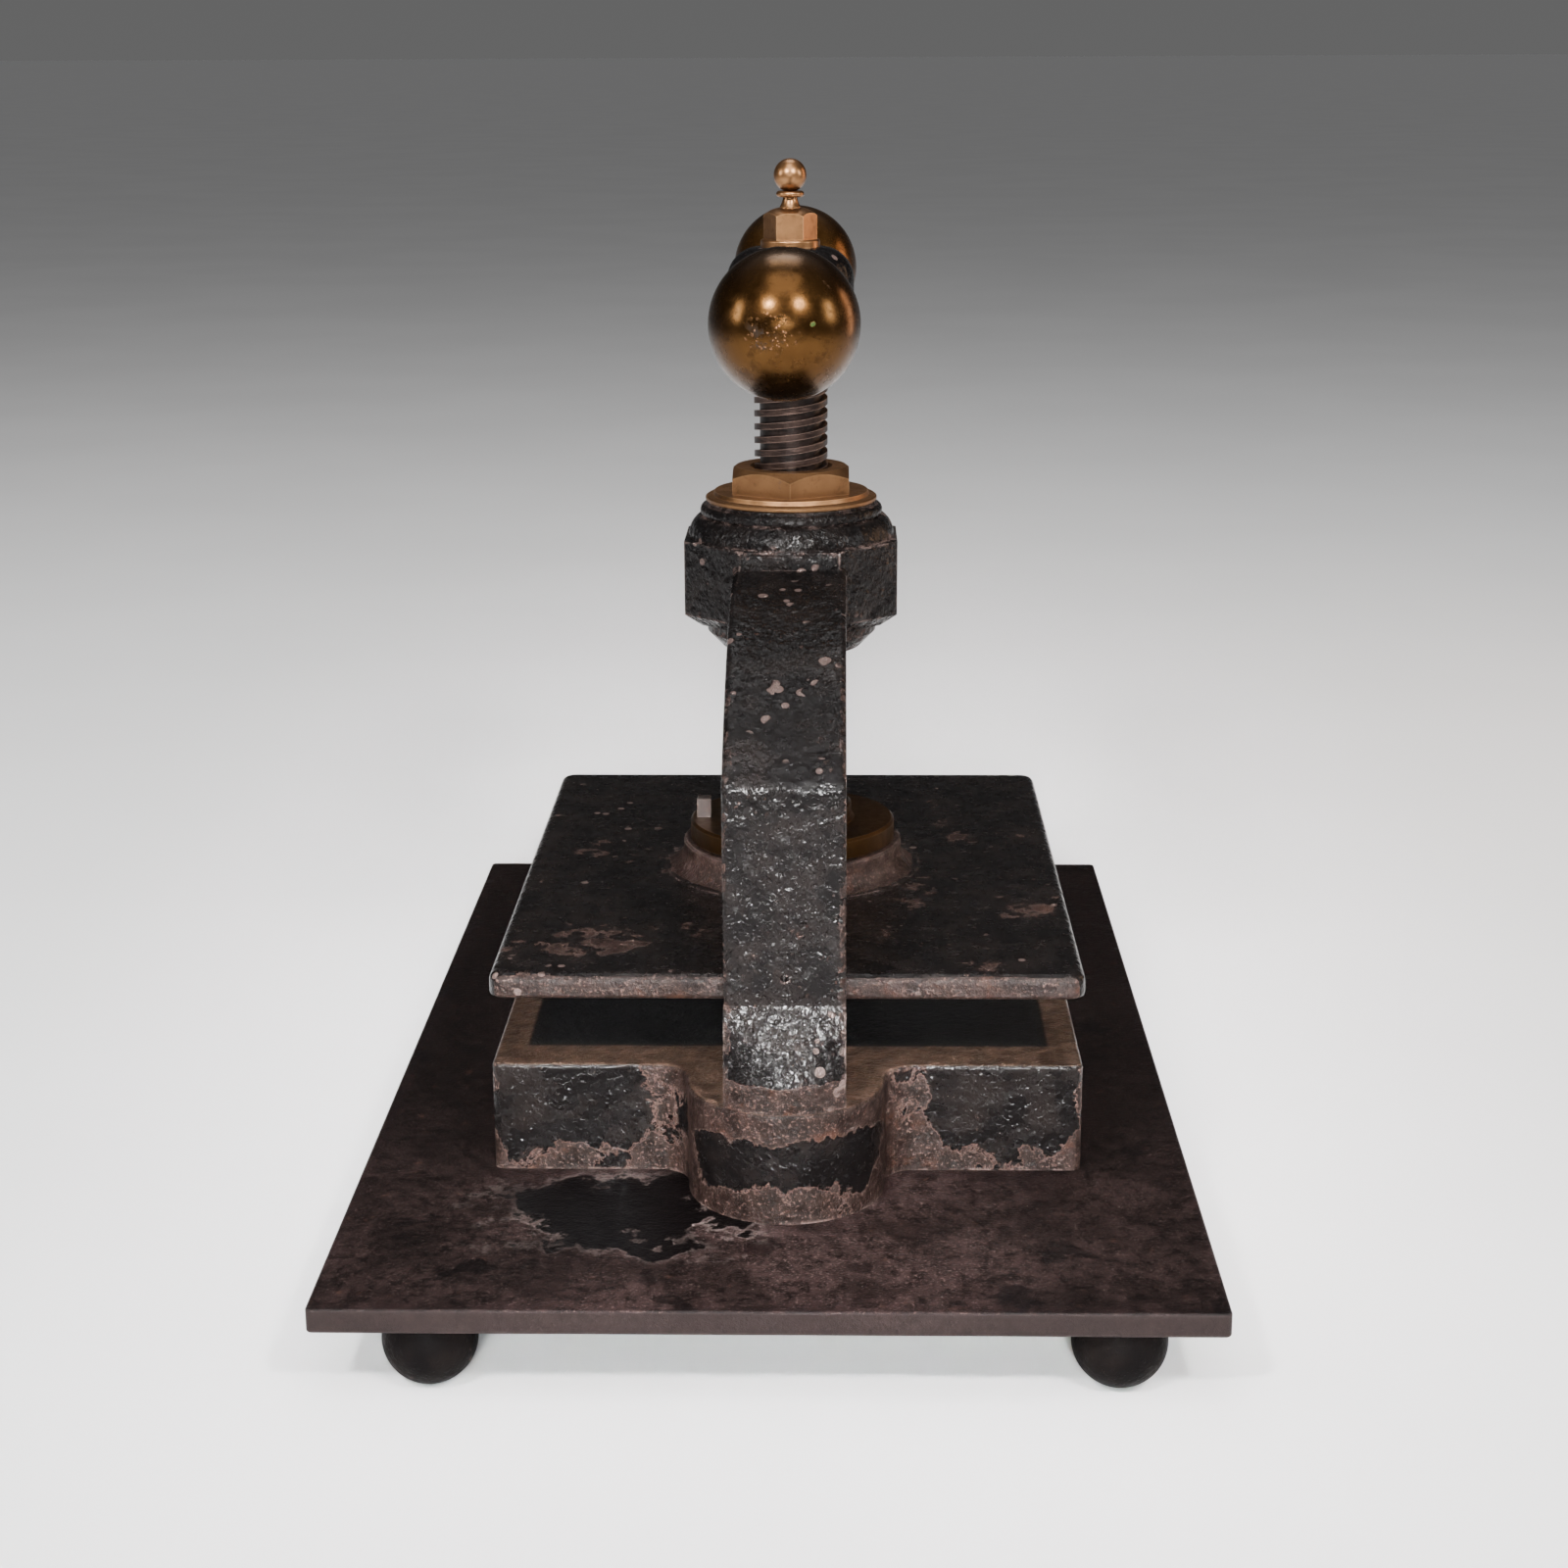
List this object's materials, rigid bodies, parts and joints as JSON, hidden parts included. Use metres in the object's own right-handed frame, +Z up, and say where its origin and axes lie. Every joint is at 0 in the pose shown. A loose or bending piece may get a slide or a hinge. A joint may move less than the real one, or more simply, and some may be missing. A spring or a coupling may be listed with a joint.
{
  "type": "bookbinding press",
  "caption": "Cast-iron bookbinding press: arch frame on a base plate with ball feet, a platen driven by a square-threaded screw, and a handle with brass ball ends.",
  "frame": {"origin": "on the floor, under the middle of the base plate", "axes": "+Z up along the press screw; Y along the arch and the handle, its negative end towards the viewer of the picture; X across the press, the screw standing a little to the +X side of the origin"},
  "size_m": [0.3518, 0.57, 0.4541],
  "materials": {
    "black_iron": "glossy black paint, pitted",
    "plate_iron": "dark rusty iron",
    "platen_iron": "glossy black paint, pitted",
    "foot_iron": "dark iron",
    "aged_brass": "aged golden brown",
    "ball_brass": "aged golden brown",
    "cap_brass": "aged golden brown",
    "screw_steel": "brownish oiled steel",
    "bolt_steel": "dark steel",
    "inner_steel": "oiled steel",
    "handle_iron": "dark iron, worn"
  },
  "bodies": {
    "frame": {"base_plate": "plate_iron", "foot_front_left": "foot_iron", "foot_front_right": "foot_iron", "foot_back_left": "foot_iron", "foot_back_right": "foot_iron", "bed": "black_iron", "bed_screws": "bolt_steel", "arch_frame": "black_iron", "arch_bolts": "bolt_steel", "arch_bolt_washers": "bolt_steel", "screw_nut": "aged_brass", "nut_grub_screw": "bolt_steel"},
    "platen": {"platen": "platen_iron", "thrust_pad": "inner_steel", "platen_collar": "aged_brass", "collar_bolts": "bolt_steel"},
    "screw": {"press_screw": "screw_steel", "thrust_collar": "inner_steel", "thrust_pin": "inner_steel", "handle_arm": "handle_iron", "handle_ball_near": "ball_brass", "handle_ball_far": "ball_brass", "hub_washer": "cap_brass", "cap_nut": "cap_brass", "finial": "cap_brass"}
  },
  "joints": [
    {"name": "platen_travel", "type": "slide", "parent": "frame", "child": "platen", "axis": [0, 0, 1], "range_m": [-0.03, 0.07]},
    {"name": "handle_turn", "type": "hinge", "parent": "platen", "child": "screw", "pos_m": [0.0052, 0, 0.1331], "axis": [0, 0, 1], "range_deg": [-900, 2100]}
  ],
  "couplings": [
    {"joint": "platen_travel", "follows": "handle_turn", "m_per_rad": 0.0019099}
  ]
}
